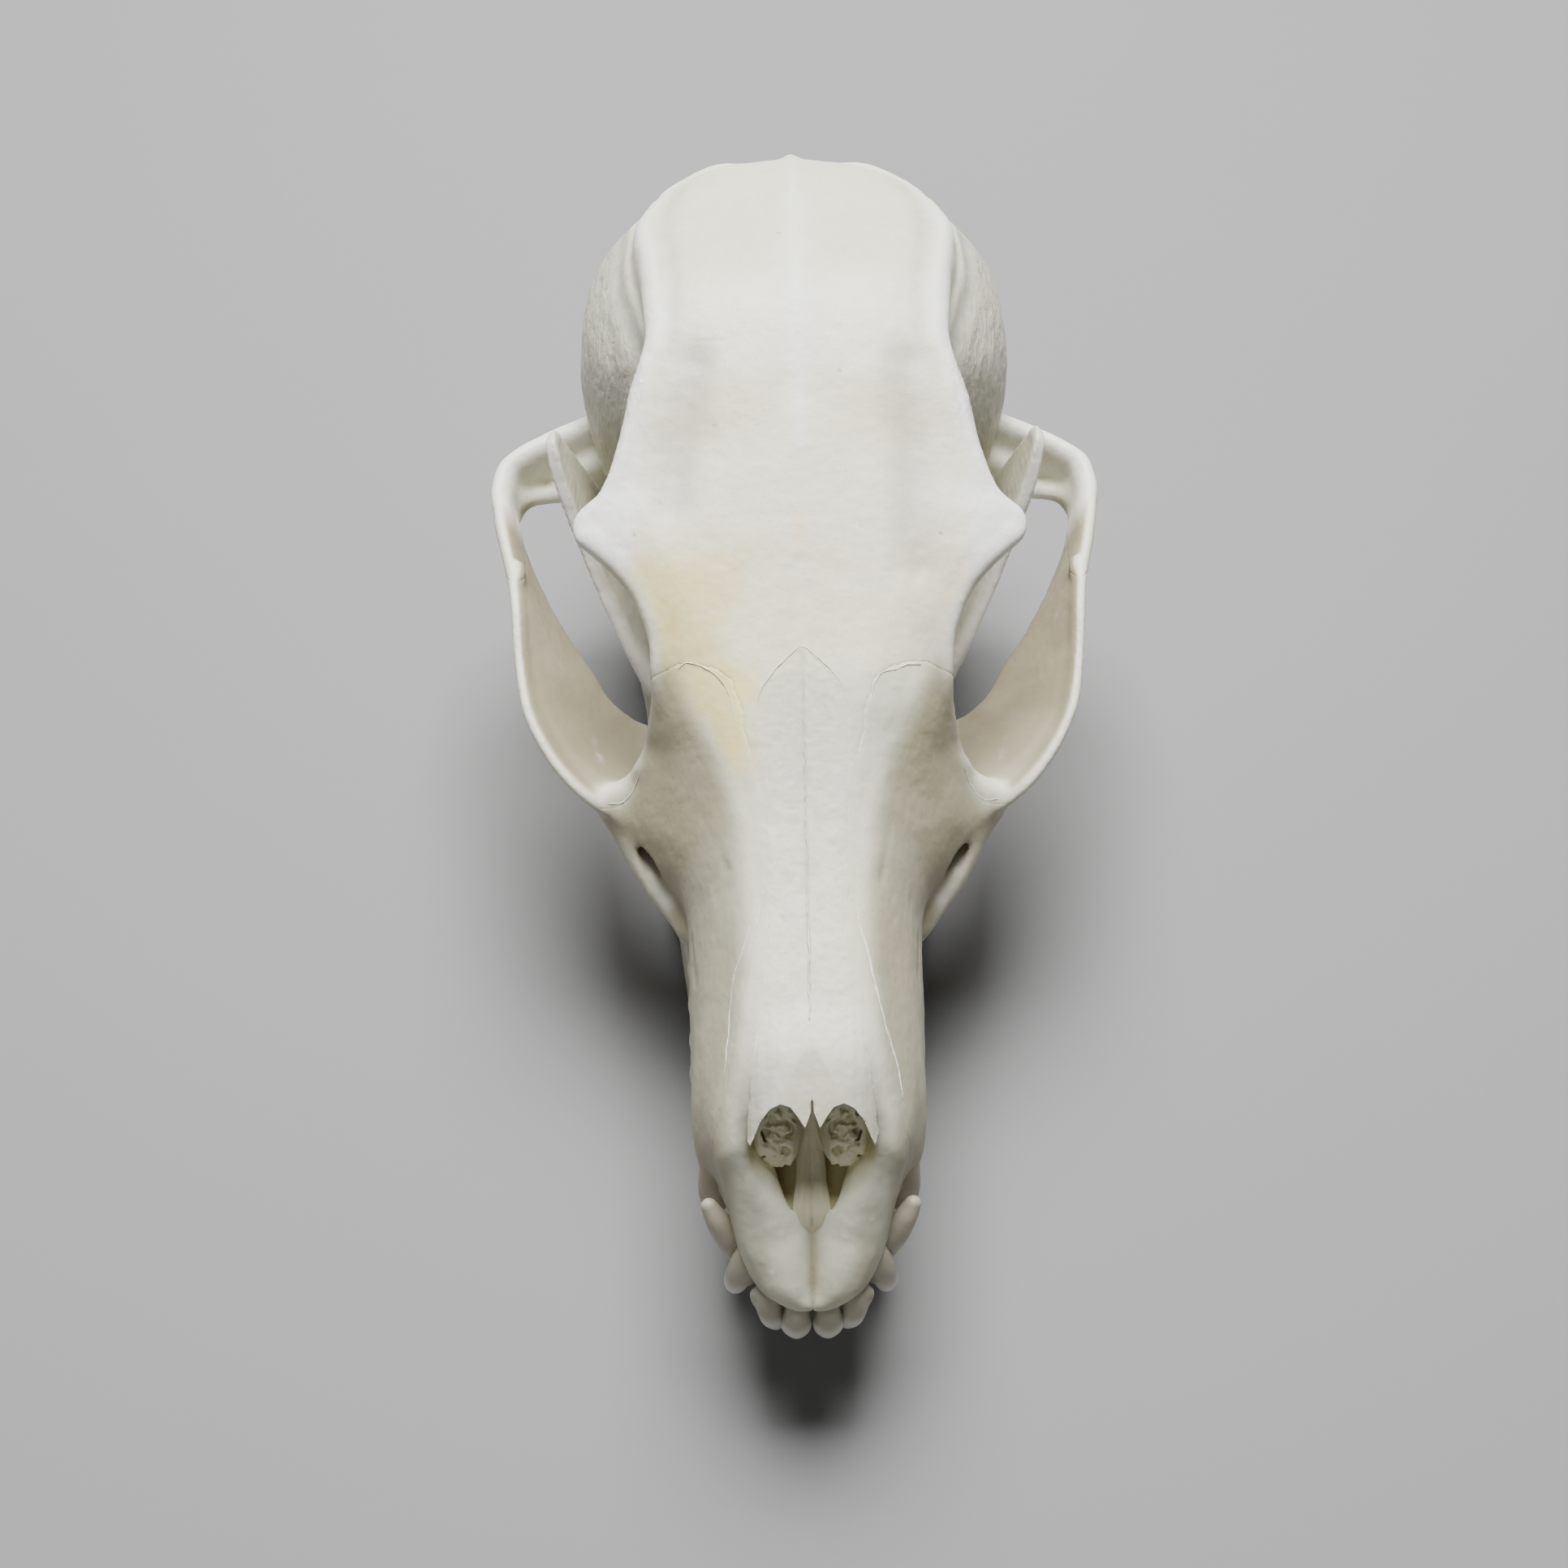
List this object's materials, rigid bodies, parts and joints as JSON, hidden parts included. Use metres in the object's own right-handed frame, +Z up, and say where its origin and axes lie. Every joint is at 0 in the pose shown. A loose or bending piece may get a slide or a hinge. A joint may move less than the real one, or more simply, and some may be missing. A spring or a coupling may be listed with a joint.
{
  "type": "grey fox skull",
  "caption": "Life-size skull of a grey fox with the lower jaw closed, resting on its lower jaw; a still display model.",
  "frame": {"origin": "on the surface that the lower jaw rests on, under the middle of the skull's box", "axes": "+Y runs from the nose to the back of the head, +X is the animal's own left side, on the right in the picture, +Z is up"},
  "size_m": [0.0672, 0.1234, 0.056],
  "materials": {
    "bone": "dry cleaned bone, ivory with cream and grey patches, matt with a slight sheen; the teeth are smoother"
  },
  "bodies": {
    "root": {"premaxilla": "bone", "muzzle": "bone", "forehead": "bone", "braincase": "bone", "cheek_arch_left": "bone", "cheek_arch_right": "bone", "lower_jaw_left": "bone", "lower_jaw_right": "bone"}
  },
  "joints": []
}
